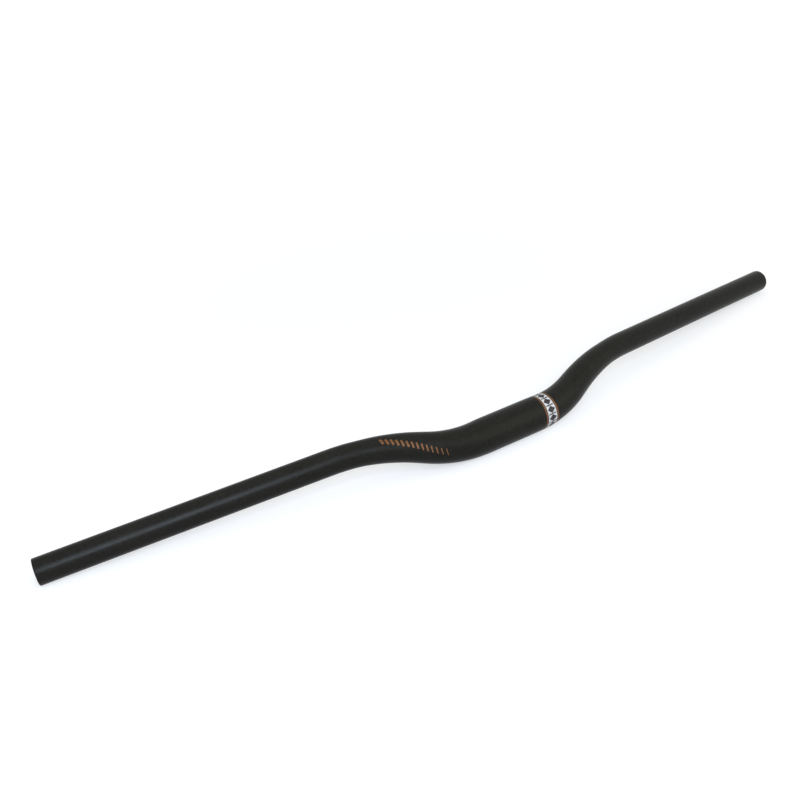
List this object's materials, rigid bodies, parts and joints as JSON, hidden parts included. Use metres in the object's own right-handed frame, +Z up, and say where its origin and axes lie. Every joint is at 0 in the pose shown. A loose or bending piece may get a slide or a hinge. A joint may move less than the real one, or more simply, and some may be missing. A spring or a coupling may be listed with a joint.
{
  "type": "riser handlebar",
  "caption": "Bent and tapered aluminium handlebar tube that rises from a thick stem clamp zone out to slim, swept-back grips with open ends.",
  "frame": {"origin": "centre of the stem clamp zone, on the tube's axis", "axes": "+X along the clamp zone to one grip, +Y the way the arms sweep, +Z up from the table on which the bar lies on its clamp zone and both ends. Turned by 54.97 degrees about +X from here, the bar is as it sits on a bicycle, with its rise up."},
  "size_m": [0.8038, 0.0961, 0.0416],
  "materials": {
    "black_anodised_tube": "satin"
  },
  "bodies": {
    "root": {"handlebar": "black_anodised_tube"}
  },
  "joints": []
}
